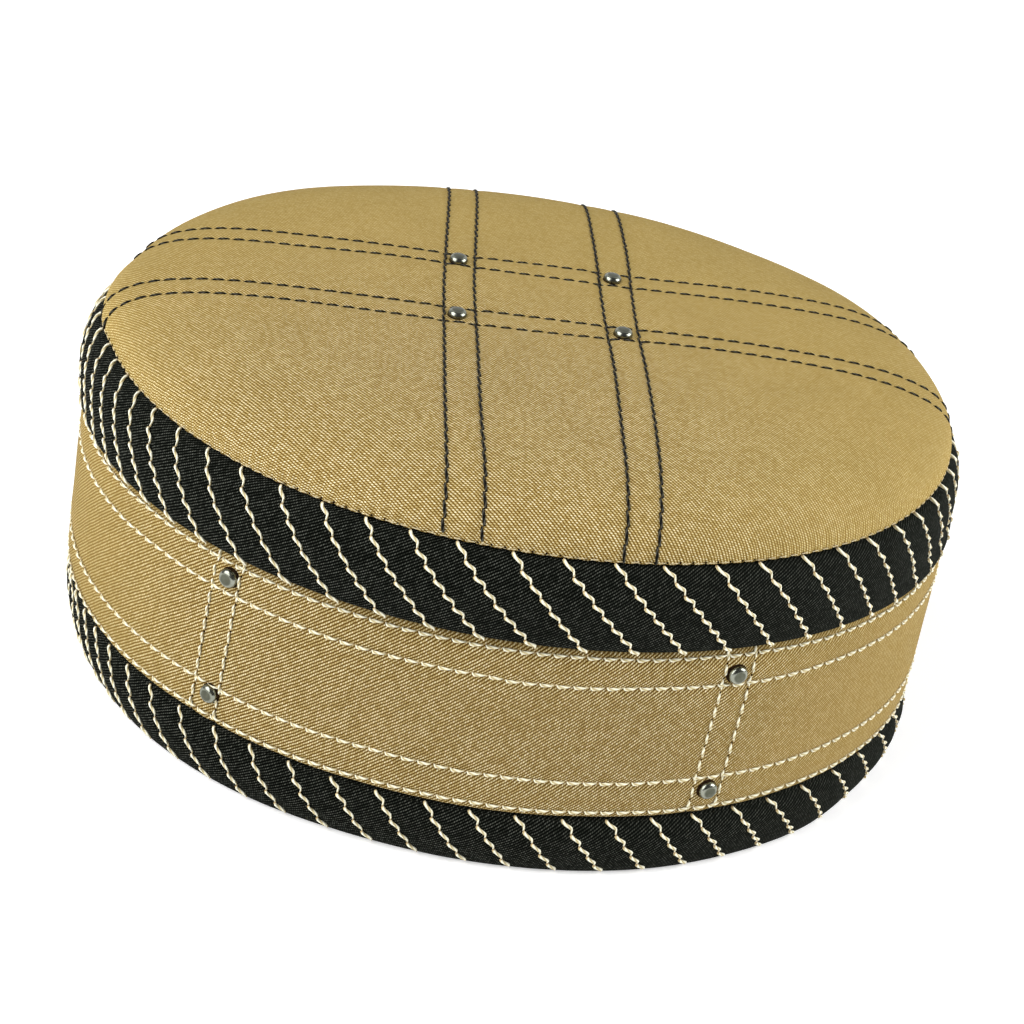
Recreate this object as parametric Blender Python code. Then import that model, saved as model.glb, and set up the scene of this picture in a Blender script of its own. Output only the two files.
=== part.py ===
"""Oval kufi cap: a padded crown, two puffed black bands, a tall side band and small metal studs.

Metres, +Z up. The origin is the centre of the rim, on the surface that the cap stands on.
The long way of the head runs along X, and the side shown as the front faces -Y.
"""

import math
from collections import namedtuple

import bmesh
import bpy
from mathutils import Matrix, Vector

MM = 0.001

# The oval at the lower seam, which every band is set out from
HALF_LENGTH = 100.0 * MM
HALF_WIDTH = 83.6 * MM
STEPS_ROUND = 72

# Heights of the seams and of the top above the rim
LOWER_SEAM = 14.6 * MM
SIDE_SEAM = 56.3 * MM
CROWN_SEAM = 75.6 * MM
CROWN_TOP = 88.9 * MM

# Gap left between two pieces that are sewn or riveted together
SEAM_GAP = 0.3 * MM

# Cloth with its stiffening: two turned layers in the bands, padding in the crown
BAND_WALL = 2.5 * MM
CROWN_WALL = 3.0 * MM

# The crown is nearly flat, with a soft shoulder that falls steeply to its seam
CROWN_EDGE = -4.5 * MM
CROWN_FLATNESS = 6.9
CROWN_SHOULDER = 2.1
CROWN_RINGS = (0.0, 0.3, 0.52, 0.68, 0.79, 0.87, 0.925, 0.962, 0.985, 1.0)

# A band's outline: how far down the band a ring lies, and how far it stands out from the oval
Ring = namedtuple("Ring", "down stand_out")
UPPER_BAND = (
    Ring(down=0.00, stand_out=-4.7 * MM),
    Ring(down=0.06, stand_out=-3.2 * MM),
    Ring(down=0.22, stand_out=-1.7 * MM),
    Ring(down=0.48, stand_out=-0.5 * MM),
    Ring(down=0.74, stand_out=-0.4 * MM),
    Ring(down=0.92, stand_out=-0.8 * MM),
    Ring(down=1.00, stand_out=-1.6 * MM),
)
SIDE_BAND = (
    Ring(down=0.00, stand_out=-1.9 * MM),
    Ring(down=0.04, stand_out=-1.4 * MM),
    Ring(down=0.96, stand_out=0.3 * MM),
    Ring(down=1.00, stand_out=-0.1 * MM),
)
LOWER_BAND = (
    Ring(down=0.00, stand_out=-0.5 * MM),
    Ring(down=0.10, stand_out=0.6 * MM),
    Ring(down=0.30, stand_out=1.4 * MM),
    Ring(down=0.55, stand_out=1.6 * MM),
    Ring(down=0.80, stand_out=0.9 * MM),
    Ring(down=1.00, stand_out=-0.4 * MM),
)

# Domed stud
STUD_RADIUS = 2.2 * MM
STUD_HEIGHT = 1.5 * MM
STUD_EDGE = 0.35 * MM
STUD_SIDES = 12
STUD_DOME_STEPS = 4

# The crown's studs sit where two pairs of stitched lines cross, each riveted a little off the middle
GRID_HALF_X = 17.8 * MM
GRID_HALF_Y = 13.8 * MM
GRID_CENTRE = Vector((-1.0 * MM, 5.7 * MM, 0.0))
GRID_TURN = math.radians(4.5)
CrownStud = namedtuple("CrownStud", "x_side y_side off_x off_y")
CROWN_STUDS = (
    CrownStud(x_side=-1, y_side=-1, off_x=-1.2 * MM, off_y=-0.5 * MM),
    CrownStud(x_side=1, y_side=-1, off_x=-0.1 * MM, off_y=0.5 * MM),
    CrownStud(x_side=1, y_side=1, off_x=-0.6 * MM, off_y=-0.3 * MM),
    CrownStud(x_side=-1, y_side=1, off_x=-0.8 * MM, off_y=-0.8 * MM),
)

# The side studs sit in slanted stitched strips. A strip's place is its angle in degrees round from the
# front, and its studs lie a few tenths of a degree aside. The back has the front's strips, half round
Strip = namedtuple("Strip", "angle upper_height upper_aside lower_height lower_aside")
FRONT_STRIPS = (
    Strip(angle=-35.1, upper_height=51.2 * MM, upper_aside=0.4, lower_height=21.9 * MM, lower_aside=0.6),
    Strip(angle=29.3, upper_height=50.0 * MM, upper_aside=-0.2, lower_height=20.9 * MM, lower_aside=0.2),
)
STRIP_SLANT = 1.2


def clear_scene():
    for old in list(bpy.data.objects):
        bpy.data.objects.remove(old, do_unlink=True)


def make_material(name, colour, roughness, metallic=0.0):
    material = bpy.data.materials.new(name)
    material.use_nodes = True
    shader = material.node_tree.nodes["Principled BSDF"]
    shader.inputs["Base Color"].default_value = (*colour, 1.0)
    shader.inputs["Roughness"].default_value = roughness
    shader.inputs["Metallic"].default_value = metallic
    return material


def add_object(name, mesh, material, collection):
    if not mesh.materials:
        mesh.materials.append(material)
    piece = bpy.data.objects.new(name, mesh)
    collection.objects.link(piece)
    return piece


def turn(section, steps, closed):
    """Spin a section in the XZ plane once round Z; an open section starts and ends on the axis."""
    bm = bmesh.new()
    verts = [bm.verts.new((radius, 0.0, height)) for radius, height in section]
    edges = [bm.edges.new(pair) for pair in zip(verts, verts[1:])]
    if closed:
        edges.append(bm.edges.new((verts[-1], verts[0])))
    bmesh.ops.spin(
        bm,
        geom=verts + edges,
        cent=(0.0, 0.0, 0.0),
        axis=(0.0, 0.0, 1.0),
        angle=2.0 * math.pi,
        steps=steps,
        use_merge=True,
    )
    bmesh.ops.remove_doubles(bm, verts=bm.verts, dist=0.01 * MM)
    bmesh.ops.recalc_face_normals(bm, faces=bm.faces)
    return bm


def finish_mesh(bm, name, sharp_angle):
    mesh = bpy.data.meshes.new(name)
    bm.to_mesh(mesh)
    bm.free()
    mesh.shade_smooth()
    mesh.set_sharp_from_angle(angle=math.radians(sharp_angle))
    return mesh


def press_oval(bm):
    """Press a round ring into the head's oval, keeping how far each point stands out."""
    for vert in bm.verts:
        radius = math.hypot(vert.co.x, vert.co.y)
        vert.co.y *= (radius - HALF_LENGTH + HALF_WIDTH) / radius


def make_band(name, rings, top, bottom, material, collection):
    """A ring of cloth between two heights, with its wall's thickness inside the outline."""
    outer = [(HALF_LENGTH + ring.stand_out, top + (bottom - top) * ring.down) for ring in rings]
    inner = [(radius - BAND_WALL, height) for radius, height in reversed(outer)]
    bm = turn(outer + inner, STEPS_ROUND, closed=True)
    press_oval(bm)
    return add_object(name, finish_mesh(bm, name, 50.0), material, collection)


def dome(share, rise):
    """Height above the seam of a point at this share of the way from the centre to the edge."""
    return rise * (1.0 - share ** CROWN_FLATNESS) ** (1.0 / CROWN_SHOULDER)


def make_crown(material, collection):
    reach = HALF_LENGTH + CROWN_EDGE
    rise = CROWN_TOP - CROWN_SEAM
    outer = [(reach * share, CROWN_SEAM + dome(share, rise)) for share in CROWN_RINGS]
    inner_reach = reach - CROWN_WALL
    inner_rise = rise - CROWN_WALL
    inner = [(inner_reach * share, CROWN_SEAM + dome(share, inner_rise)) for share in CROWN_RINGS]
    bm = turn(outer + inner[::-1], STEPS_ROUND, closed=False)
    narrowing = (HALF_WIDTH + CROWN_EDGE) / reach
    bmesh.ops.scale(bm, vec=(1.0, narrowing, 1.0), verts=bm.verts)
    return add_object("crown_top", finish_mesh(bm, "crown_top", 50.0), material, collection)


def stud_mesh():
    """A domed cap on a short upright edge, standing on its flat back at the origin."""
    section = [(0.0, STUD_HEIGHT)]
    for step in range(1, STUD_DOME_STEPS + 1):
        angle = 0.5 * math.pi * step / STUD_DOME_STEPS
        dome_height = STUD_HEIGHT - STUD_EDGE
        section.append((STUD_RADIUS * math.sin(angle), STUD_EDGE + dome_height * math.cos(angle)))
    section.append((STUD_RADIUS, 0.0))
    section.append((0.0, 0.0))
    return finish_mesh(turn(section, STUD_SIDES, closed=False), "stud", 60.0)


def place_stud(stud, point, outward):
    """Stand a stud on the cloth at this point, one seam gap clear of it."""
    outward = outward.normalized()
    stud.location = point + outward * SEAM_GAP
    stud.rotation_mode = "QUATERNION"
    stud.rotation_quaternion = Vector((0.0, 0.0, 1.0)).rotation_difference(outward)


def side_point(degrees, height):
    """Point of the side band's cloth, at an angle round from the front and a height."""
    above = SIDE_BAND[1]
    below = SIDE_BAND[2]
    down = (SIDE_SEAM - height) / (SIDE_SEAM - LOWER_SEAM)
    share = (down - above.down) / (below.down - above.down)
    stand_out = above.stand_out + (below.stand_out - above.stand_out) * share
    angle = math.radians(degrees - 90.0)
    across = (HALF_LENGTH + stand_out) * math.cos(angle)
    along = (HALF_WIDTH + stand_out) * math.sin(angle)
    return Vector((across, along, height))


def side_outward(degrees, height):
    round_way = side_point(degrees + 0.5, height) - side_point(degrees - 0.5, height)
    up_way = side_point(degrees, height + MM) - side_point(degrees, height - MM)
    return round_way.cross(up_way)


def add_crown_studs(mesh, material, collection):
    turn_grid = Matrix.Rotation(GRID_TURN, 4, "Z")
    for number, spot in enumerate(CROWN_STUDS, start=1):
        corner = Vector((spot.x_side * GRID_HALF_X + spot.off_x, spot.y_side * GRID_HALF_Y + spot.off_y, 0.0))
        point = GRID_CENTRE + turn_grid @ corner
        point.z = CROWN_TOP
        stud = add_object(f"crown_stud_{number}", mesh, material, collection)
        place_stud(stud, point, Vector((0.0, 0.0, 1.0)))


def add_side_stud(name, angle, height, mesh, material, collection):
    middle = 0.5 * (SIDE_SEAM + LOWER_SEAM)
    angle += STRIP_SLANT * (height - middle) / (SIDE_SEAM - LOWER_SEAM)
    stud = add_object(name, mesh, material, collection)
    place_stud(stud, side_point(angle, height), side_outward(angle, height))


def add_side_studs(mesh, material, collection):
    number = 0
    for half_turn in (0.0, 180.0):
        for strip in FRONT_STRIPS:
            number += 1
            angle = half_turn + strip.angle
            studs = (
                ("upper", angle + strip.upper_aside, strip.upper_height),
                ("lower", angle + strip.lower_aside, strip.lower_height),
            )
            for level, turned, height in studs:
                name = f"side_stud_{level}_{number}"
                add_side_stud(name, turned, height, mesh, material, collection)


def main():
    clear_scene()
    collection = bpy.data.collections.new("oval_kufi_cap")
    bpy.context.scene.collection.children.link(collection)

    tan_twill = make_material("tan_twill", (0.36, 0.25, 0.12), 0.85)
    black_twill = make_material("black_twill", (0.012, 0.013, 0.012), 0.8)
    dark_metal = make_material("dark_metal", (0.22, 0.21, 0.2), 0.25, metallic=1.0)

    make_crown(tan_twill, collection)
    make_band("upper_band", UPPER_BAND, CROWN_SEAM - SEAM_GAP, SIDE_SEAM, black_twill, collection)
    make_band("side_band", SIDE_BAND, SIDE_SEAM - SEAM_GAP, LOWER_SEAM, tan_twill, collection)
    make_band("lower_band", LOWER_BAND, LOWER_SEAM - SEAM_GAP, 0.0, black_twill, collection)

    stud = stud_mesh()
    add_crown_studs(stud, dark_metal, collection)
    add_side_studs(stud, dark_metal, collection)


main()
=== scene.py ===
"""Looks of an oval kufi cap: twill cloth, puffed bands, sewn threads and domed studs.

Metres, +Z up. The cap stands on its rim, its long way runs along X and its front faces -Y.
A place on a band is given as a distance round from the middle of the front, positive towards +X,
and a share of the way down the band. A place on the crown is given as its plan X and Y.
"""

import bisect
import random
from collections import namedtuple
from functools import partial
from math import atan2, copysign, cos, degrees, exp, hypot, pi, radians, sin, tau

import bmesh
import bpy
from mathutils import Matrix, Vector, noise


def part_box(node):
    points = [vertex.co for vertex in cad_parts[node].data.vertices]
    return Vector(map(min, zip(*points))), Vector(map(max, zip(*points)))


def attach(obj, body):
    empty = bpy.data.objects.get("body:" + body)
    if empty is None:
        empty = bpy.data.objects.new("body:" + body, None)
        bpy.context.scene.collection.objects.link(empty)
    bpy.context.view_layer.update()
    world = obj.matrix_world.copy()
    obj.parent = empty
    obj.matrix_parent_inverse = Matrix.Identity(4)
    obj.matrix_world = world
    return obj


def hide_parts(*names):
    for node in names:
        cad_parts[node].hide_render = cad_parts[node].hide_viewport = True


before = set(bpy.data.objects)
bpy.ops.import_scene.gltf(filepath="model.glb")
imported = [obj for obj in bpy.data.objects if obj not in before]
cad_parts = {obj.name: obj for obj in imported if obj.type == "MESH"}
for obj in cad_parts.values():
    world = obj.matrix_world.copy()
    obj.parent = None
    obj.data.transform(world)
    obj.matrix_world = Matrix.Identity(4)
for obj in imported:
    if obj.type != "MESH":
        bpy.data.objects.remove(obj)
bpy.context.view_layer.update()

MM = 0.001
UP = Vector((0.0, 0.0, 1.0))

# Sizes read from the frame
LOWER_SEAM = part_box("side_band")[0][2]
SIDE_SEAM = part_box("upper_band")[0][2]
CROWN_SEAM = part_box("crown_top")[0][2]
CROWN_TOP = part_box("crown_top")[1][2]
CROWN_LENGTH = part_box("crown_top")[1][0]
CROWN_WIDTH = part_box("crown_top")[1][1]

# The oval that the bands are set out from, and the walls' thickness
HALF_LENGTH = 100.0 * MM
HALF_WIDTH = 83.6 * MM
BAND_WALL = 2.5 * MM
CROWN_WALL = 3.0 * MM

# Topstitching
STITCH = 3.45 * MM


def run_lengths(points):
    """How far along a path each of its points lies."""
    lengths = [0.0]
    for here, there in zip(points, points[1:]):
        lengths.append(lengths[-1] + (there - here).length)
    return lengths


def oval_point(turn, stand_out, height):
    across = (HALF_LENGTH + stand_out) * sin(turn)
    along = -(HALF_WIDTH + stand_out) * cos(turn)
    return Vector((across, along, height))


# Distances round the oval from the middle of the front, at even steps of turn
OVAL_STEPS = 1440
OVAL_TURNS = [tau * step / OVAL_STEPS for step in range(OVAL_STEPS + 1)]
OVAL_LENGTHS = run_lengths([oval_point(turn, 0.0, 0.0) for turn in OVAL_TURNS])
ROUND = OVAL_LENGTHS[-1]


def place_at(lengths, places, length):
    """The place that lies a length along a path, from some of its places and their lengths."""
    index = min(max(bisect.bisect_right(lengths, length), 1), len(lengths) - 1)
    start, end = lengths[index - 1], lengths[index]
    share = (length - start) / (end - start)
    return places[index - 1] + (places[index] - places[index - 1]) * share


def turn_at(distance):
    """The turn in radians of a point at this distance round from the middle of the front."""
    return place_at(OVAL_LENGTHS, OVAL_TURNS, distance % ROUND)


def distance_at(turn):
    """The distance round from the middle of the front of a point at this turn."""
    return place_at(OVAL_TURNS, OVAL_LENGTHS, turn % tau)


# A line drawn down into the cloth, or a ridge raised on it
Groove = namedtuple("Groove", "depth width")

# Irregular waves of the cloth: how high, how long and which ones
Wave = namedtuple("Wave", "height length seed")


def groove(shape, away):
    """How deep a groove is at a distance from its middle."""
    return shape.depth * exp(-((away / shape.width) ** 2))


def wander(wave, x, y):
    return wave.height * noise.noise(Vector((x / wave.length, y / wave.length, wave.seed)))


def smooth_curve(points, place):
    """Value at a place on a smooth curve through (place, value) points."""
    last = len(points) - 1
    place = min(max(place, points[0][0]), points[last][0])
    index = 0
    while index < last - 1 and points[index + 1][0] < place:
        index += 1

    def slope(at):
        before, after = points[max(at - 1, 0)], points[min(at + 1, last)]
        return (after[1] - before[1]) / (after[0] - before[0])

    start, end = points[index], points[index + 1]
    span = end[0] - start[0]
    t = (place - start[0]) / span
    swing_in = slope(index) * span
    swing_out = slope(index + 1) * span
    rise = (2 * t**3 - 3 * t**2 + 1) * start[1] + (-2 * t**3 + 3 * t**2) * end[1]
    return rise + (t**3 - 2 * t**2 + t) * swing_in + (t**3 - t**2) * swing_out


# A band's outline: how far down the band a row lies, and how far it stands out from the oval
Row = namedtuple("Row", "down stand_out")
UPPER_ROWS = (
    Row(0.00, -5.0 * MM),
    Row(0.06, -3.3 * MM),
    Row(0.22, -1.7 * MM),
    Row(0.48, -0.5 * MM),
    Row(0.74, -0.4 * MM),
    Row(0.93, -0.7 * MM),
    Row(1.00, -1.5 * MM),
)
SIDE_ROWS = (
    Row(0.00, -3.2 * MM),
    Row(0.03, -2.2 * MM),
    Row(0.10, -1.4 * MM),
    Row(0.50, -0.6 * MM),
    Row(0.96, 0.3 * MM),
    Row(1.00, -0.1 * MM),
)
LOWER_ROWS = (
    Row(0.00, -0.6 * MM),
    Row(0.10, 0.5 * MM),
    Row(0.30, 1.3 * MM),
    Row(0.55, 1.5 * MM),
    Row(0.80, 0.8 * MM),
    Row(1.00, -0.4 * MM),
)


def stray_curve(*points):
    """Smooth curve all the way round of how far a part strays outward from its even oval, from turns in
    degrees and tenths of a millimetre."""
    points = [(radians(turn), 0.1 * MM * tenths) for turn, tenths in points]
    (first_turn, first), (last_turn, last) = points[0], points[-1]
    return [(last_turn - tau, last)] + points + [(first_turn + tau, first)]


CROWN_STRAY = stray_curve(
    (-168, -20), (-150, -9), (-138, -1), (-128, 0), (-116, -6), (-104, -10), (-97, -10), (-90, 2), (-79, 6),
    (-70, -5), (-25, 0), (40, 0), (70, -5), (100, -3), (112, 4), (127, 14), (137, 6), (146, -3), (165, -3),
    (178, -15),
)
UPPER_STRAY = stray_curve(
    (-122, 4), (-106, 11), (-92, 10), (-79, 6), (-70, 1), (-50, 0), (40, 0), (74, -9), (90, 1), (112, 1),
    (180, 0),
)
SIDE_STRAY = stray_curve(
    (-130, 0), (-106, 8), (-84, 9), (-60, 2), (-40, 0), (40, 0), (60, 5), (78, 11), (92, 10), (125, 0)
)
LOWER_STRAY = stray_curve(
    (-130, 0), (-100, -6), (-84, -5), (-74, -10), (-60, -5), (-46, 5), (-30, 6), (-14, -1), (2, 3), (22, 9),
    (36, 7), (48, 9), (60, 2), (70, 7), (84, 9), (110, 0),
)


def stray_at(curve, turn):
    return smooth_curve(curve, (turn + pi) % tau - pi)


class Threads:
    """Threads sewn slantwise over a black band.

    The places are where every fourth thread crosses the middle of the band, in millimetres round from
    the middle of the front, over half the way round; the other half repeats them. The lean is how far
    a thread moves round on its way down the band: more at the front and back than at the ends.
    """

    BETWEEN = 4
    DRIFT = 0.3
    LEAN_DRIFT = 0.03

    def __init__(self, places, lean, lean_swing):
        self.lean = lean
        self.lean_swing = lean_swing
        self.ripple = Wave(0.12 * MM, 6.0 * MM, lean / MM)
        self.count = 2 * self.BETWEEN * len(places)
        points = []
        for half in range(-1, 3):
            for index, place in enumerate(places):
                at = 0.5 * half * self.count + index * self.BETWEEN
                points.append((at, place * MM + 0.5 * half * ROUND))
        self.middles = [smooth_curve(points, index) for index in range(self.count + 1)]

    def lean_at(self, middle):
        return self.lean + self.lean_swing * cos(4.0 * pi * middle / ROUND)

    def gap_at(self, distance, down):
        """How far from the thread before a place lies, and how far that thread is from the next."""
        middle = distance
        for _ in range(2):
            middle = distance - self.lean_at(middle) * (down - 0.5)
        middle = self.middles[0] + (middle - self.middles[0]) % ROUND
        index = min(bisect.bisect_right(self.middles, middle), self.count)
        before, after = self.middles[index - 1], self.middles[index]
        return middle - before, after - before

    def path(self, band, index, chance):
        """Where a thread starts and ends on its band."""
        middle = self.middles[index] + chance.uniform(-self.DRIFT, self.DRIFT) * MM
        lean = self.lean_at(middle) * (1.0 + chance.uniform(-self.LEAN_DRIFT, self.LEAN_DRIFT))
        return Vector((middle - 0.5 * lean, band.top)), Vector((middle + 0.5 * lean, band.bottom))


UPPER_THREADS = Threads((-2.4, 39.3, 79.0, 114.3, 145.2, 176.0, 207.2, 246.5), 14.5 * MM, 4.2 * MM)
LOWER_THREADS = Threads((-4.3, 34.2, 72.7, 112.5, 149.5, 180.0, 209.4, 245.8), 10.3 * MM, 0.0)

# Cream rows along the side band: height above the rim, and where the first hole lies
SewnRow = namedtuple("SewnRow", "height first_hole")
ROW_STITCHES = 168
SEWN_ROWS = (
    SewnRow(54.2 * MM, 0.4 * MM),
    SewnRow(47.5 * MM, 2.1 * MM),
    SewnRow(23.9 * MM, 1.3 * MM),
    SewnRow(16.4 * MM, 2.9 * MM),
)

# Slanted strips of the side band: turns of their middles and how far they lean, in degrees
STRIP_TURNS = (-35.1, 29.3, 144.9, 209.3)
STRIP_LEAN = 1.2
STRIP_HALF_GAUGE = 3.25 * MM
STRIP_TOP_GAP = 0.3 * MM
STRIP_BOTTOM_GAP = 0.5 * MM

# The crown's stitched grid: two pairs of lines each way, turned a little on the crown. Each line strays
# a little from straight, by these tenths of a millimetre at even steps from one end to the other
GridLine = namedtuple("GridLine", "along_x offset strays")
GRID_HALF_X = 17.8 * MM
GRID_HALF_Y = 13.8 * MM
GRID_HALF_GAUGE = 3.4 * MM
GRID_STEP = 28.0 * MM
GRID_LINES = (
    GridLine(False, -GRID_HALF_X - GRID_HALF_GAUGE, (7, -4, -6, -7, 0, 8, 8)),
    GridLine(False, -GRID_HALF_X + GRID_HALF_GAUGE, (14, 0, -3, -7, 1, 8, 8)),
    GridLine(False, GRID_HALF_X - GRID_HALF_GAUGE, (1, -1, 1, -4, -2, -3, -6)),
    GridLine(False, GRID_HALF_X + GRID_HALF_GAUGE, (-2, 2, 3, 0, 7, 7, 5)),
    GridLine(True, -GRID_HALF_Y - GRID_HALF_GAUGE, (2, 2, -1, 1, 22, 18, -11)),
    GridLine(True, -GRID_HALF_Y + GRID_HALF_GAUGE, (-4, -3, -3, -2, 6, 1, -19)),
    GridLine(True, GRID_HALF_Y - GRID_HALF_GAUGE, (6, 3, 8, -2, 6, 12, 17)),
    GridLine(True, GRID_HALF_Y + GRID_HALF_GAUGE, (2, -3, -9, -7, -1, 12, 20)),
)
GRID_CENTRE = Vector((-1.0 * MM, 5.7 * MM, 0.0))
GRID_TURN = Matrix.Rotation(radians(4.5), 4, "Z")
GRID_BACK = GRID_TURN.inverted()


class Band:
    """The outer face of a band of cloth, between two heights.

    The strays are the curves that it follows at its top edge, over its middle and at its bottom edge.
    """

    EDGE = 0.27

    def __init__(self, rows, top, bottom, strays, relief):
        self.rows = rows
        self.top = top
        self.bottom = bottom
        self.strays = strays
        self.relief = relief

    def height_at(self, down):
        return self.top + (self.bottom - self.top) * down

    def down_at(self, height):
        return (height - self.top) / (self.bottom - self.top)

    def stray(self, turn, down):
        top, middle, bottom = self.strays
        total = stray_at(middle, turn)
        if down < self.EDGE:
            total += (stray_at(top, turn) - stray_at(middle, turn)) * (1.0 - down / self.EDGE)
        if down > 1.0 - self.EDGE:
            total += (stray_at(bottom, turn) - stray_at(middle, turn)) * (1.0 - (1.0 - down) / self.EDGE)
        return total

    def inset_point(self, distance, down, inset):
        """A point of the wall, inset from its outer face."""
        turn = turn_at(distance)
        stand_out = smooth_curve(self.rows, down) + self.stray(turn, down)
        if inset < 0.5 * BAND_WALL:
            stand_out += self.relief(distance, down)
        return oval_point(turn, stand_out - inset, self.height_at(down))

    def outward(self, distance, down):
        step = 0.3 * MM
        share = step / (self.top - self.bottom)
        ahead = self.inset_point(distance + step, down, 0.0)
        ahead -= self.inset_point(distance - step, down, 0.0)
        upward = self.inset_point(distance, down - share, 0.0)
        upward -= self.inset_point(distance, down + share, 0.0)
        return ahead.cross(upward).normalized()

    def on(self, distance, down):
        """The cloth's face and its outward way."""
        return self.inset_point(distance, down, 0.0), self.outward(distance, down)

    def at(self, spot):
        """The same, from a spot given as distance round and height."""
        return self.on(spot.x, self.down_at(spot.y))


THREAD_PUFF = 0.22 * MM
THREAD_GROOVE = Groove(0.3 * MM, 1.1 * MM)
RIPPLE_SPREAD = 20.0


def quilted(threads, distance, down):
    """Cloth puffed up between threads and drawn in under each."""
    gap, spacing = threads.gap_at(distance, down)
    ends = sin(pi * min(max(down, 0.0), 1.0))
    puff = THREAD_PUFF * sin(pi * gap / spacing) * ends
    drawn = groove(THREAD_GROOVE, min(gap, spacing - gap)) * ends
    ripple = wander(threads.ripple, distance, down * RIPPLE_SPREAD * MM)
    return puff - drawn + ripple * ends


def row_wander(row, distance):
    """How far a sewn row strays up or down."""
    return wander(Wave(0.35 * MM, 30.0 * MM, row.height / MM), distance, 0.0)


SIDE_WAVES = Wave(0.25 * MM, 26.0 * MM, 3.0)
SIDE_RIPPLES = Wave(0.1 * MM, 7.0 * MM, 5.0)
RIPPLE_SQUEEZE = 0.6
ROW_GROOVE = Groove(0.3 * MM, 0.9 * MM)
ROW_PUCKER = Groove(0.05 * MM, 2.2 * MM)
STRIP_GROOVE = Groove(0.2 * MM, 0.8 * MM)
STRIP_RIDGE = Groove(0.12 * MM, 2.0 * MM)


def side_relief(distance, down):
    """Cloth drawn in along each sewn row, with small puckers beside it and slow waves between."""
    height = SIDE_SEAM + (LOWER_SEAM - SIDE_SEAM) * down
    total = wander(SIDE_WAVES, distance, height)
    total += wander(SIDE_RIPPLES, distance, height * RIPPLE_SQUEEZE)
    step = ROUND / ROW_STITCHES
    for row in SEWN_ROWS:
        away = height - row.height - row_wander(row, distance)
        total -= groove(ROW_GROOVE, away)
        total -= groove(ROW_PUCKER, away) * cos(tau * (distance - row.first_hole) / step)
    turn = degrees(turn_at(distance))
    for strip in STRIP_TURNS:
        middle = strip + STRIP_LEAN * (0.5 - down)
        from_middle = radians((turn - middle + 180.0) % 360.0 - 180.0) * HALF_LENGTH
        if abs(from_middle) < 3.0 * STRIP_HALF_GAUGE:
            total -= groove(STRIP_GROOVE, abs(from_middle) - STRIP_HALF_GAUGE)
            total += groove(STRIP_RIDGE, from_middle)
    return total


UPPER = Band(
    rows=UPPER_ROWS,
    top=CROWN_SEAM - 0.3 * MM,
    bottom=SIDE_SEAM,
    strays=(CROWN_STRAY, UPPER_STRAY, SIDE_STRAY),
    relief=partial(quilted, UPPER_THREADS),
)
SIDE = Band(
    rows=SIDE_ROWS,
    top=SIDE_SEAM - 0.1 * MM,
    bottom=LOWER_SEAM,
    strays=(SIDE_STRAY, SIDE_STRAY, SIDE_STRAY),
    relief=side_relief,
)
LOWER = Band(
    rows=LOWER_ROWS,
    top=LOWER_SEAM - 0.1 * MM,
    bottom=0.0,
    strays=(SIDE_STRAY, LOWER_STRAY, LOWER_STRAY),
    relief=partial(quilted, LOWER_THREADS),
)


# The crown's dome, nearly flat with a soft shoulder that falls steeply to its seam
CROWN_FLATNESS = 6.9
CROWN_SHOULDER = 2.1
RELIEF_FADE = 8
EDGE_PUCKERS = 208


def dome(share, rise):
    share = min(share, 1.0)
    return rise * (1.0 - share**CROWN_FLATNESS) ** (1.0 / CROWN_SHOULDER)


def crown_reach(turn):
    """How far the crown's edge reaches at this turn, as a share of its even oval."""
    radius = hypot(CROWN_LENGTH * sin(turn), CROWN_WIDTH * cos(turn))
    return 1.0 + stray_at(CROWN_STRAY, turn) / radius


def crown_share(x, y):
    turn = atan2(x / CROWN_LENGTH, -y / CROWN_WIDTH)
    return hypot(x / CROWN_LENGTH, y / CROWN_WIDTH) / crown_reach(turn)


def line_stray(line, along):
    """How far aside a grid line lies from straight, at a place along it."""
    count = len(line.strays)
    start = -0.5 * (count - 1) * GRID_STEP
    points = [(start + GRID_STEP * index, 0.1 * MM * stray) for index, stray in enumerate(line.strays)]
    return smooth_curve(points, along)


CROWN_WAVES = Wave(0.35 * MM, 30.0 * MM, 11.0)
GRID_GROOVE = Groove(0.28 * MM, 1.3 * MM)
GRID_GROOVE_REACH = 6.0 * MM


def crown_relief(x, y):
    """The padding drawn down along each stitched line, with slow waves between."""
    place = GRID_BACK @ (Vector((x, y, 0.0)) - GRID_CENTRE)
    total = wander(CROWN_WAVES, x, y)
    for line in GRID_LINES:
        along, across = (place.x, place.y) if line.along_x else (place.y, place.x)
        away = across - line.offset
        if abs(away) < GRID_GROOVE_REACH:
            total -= groove(GRID_GROOVE, away - line_stray(line, along))
    return total


def crown_point(x, y):
    share = crown_share(x, y)
    fade = 1.0 - min(share, 1.0) ** RELIEF_FADE
    return Vector((x, y, CROWN_SEAM + dome(share, CROWN_TOP - CROWN_SEAM) + crown_relief(x, y) * fade))


def crown_on(x, y):
    """The crown's face and its outward way."""
    step = 0.15 * MM
    right = crown_point(x + step, y) - crown_point(x - step, y)
    back = crown_point(x, y + step) - crown_point(x, y - step)
    return crown_point(x, y), right.cross(back).normalized()


# Node helpers


def feed(tree, node, inputs):
    """Give a node's inputs their constants or other nodes' outputs."""
    for label, value in inputs.items():
        socket = node.inputs[label]
        if isinstance(value, bpy.types.NodeSocket):
            tree.links.new(value, socket)
        elif socket.type == "RGBA":
            socket.default_value = (*value, 1.0)
        else:
            socket.default_value = value


def add_node(tree, kind, inputs, **settings):
    node = tree.nodes.new("ShaderNode" + kind)
    for setting, value in settings.items():
        setattr(node, setting, value)
    feed(tree, node, inputs)
    return node


def math_node(operation, tree, *values):
    return add_node(tree, "Math", dict(enumerate(values)), operation=operation).outputs[0]


times = partial(math_node, "MULTIPLY")
plus = partial(math_node, "ADD")
minus = partial(math_node, "SUBTRACT")


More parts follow.
